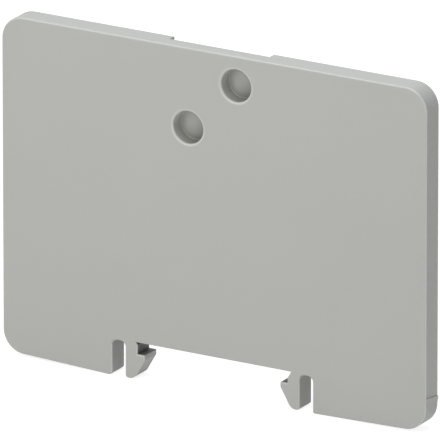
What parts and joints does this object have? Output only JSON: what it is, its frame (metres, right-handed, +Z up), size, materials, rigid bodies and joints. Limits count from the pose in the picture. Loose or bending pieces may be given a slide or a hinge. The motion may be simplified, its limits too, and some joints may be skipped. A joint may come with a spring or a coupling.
{
  "type": "terminal block end cover",
  "caption": "Flat rounded plate that closes the end of a row of terminal blocks, with hooked snap feet for a miniature mounting rail and blind peg recesses in its front.",
  "frame": {"origin": "on the bottom edge that sits on the rail, over the rail's middle, half way through the plate's thickness", "axes": "+X along the plate's length and across the rail, +Z up away from the rail, -Y out of the front face with the recesses; the rail runs along Y"},
  "size_m": [0.0426, 0.0022, 0.0314],
  "materials": {
    "cover_plastic": "light grey moulded polyamide, fine matt mould texture"
  },
  "bodies": {
    "root": {"end_cover": "cover_plastic"}
  },
  "joints": []
}
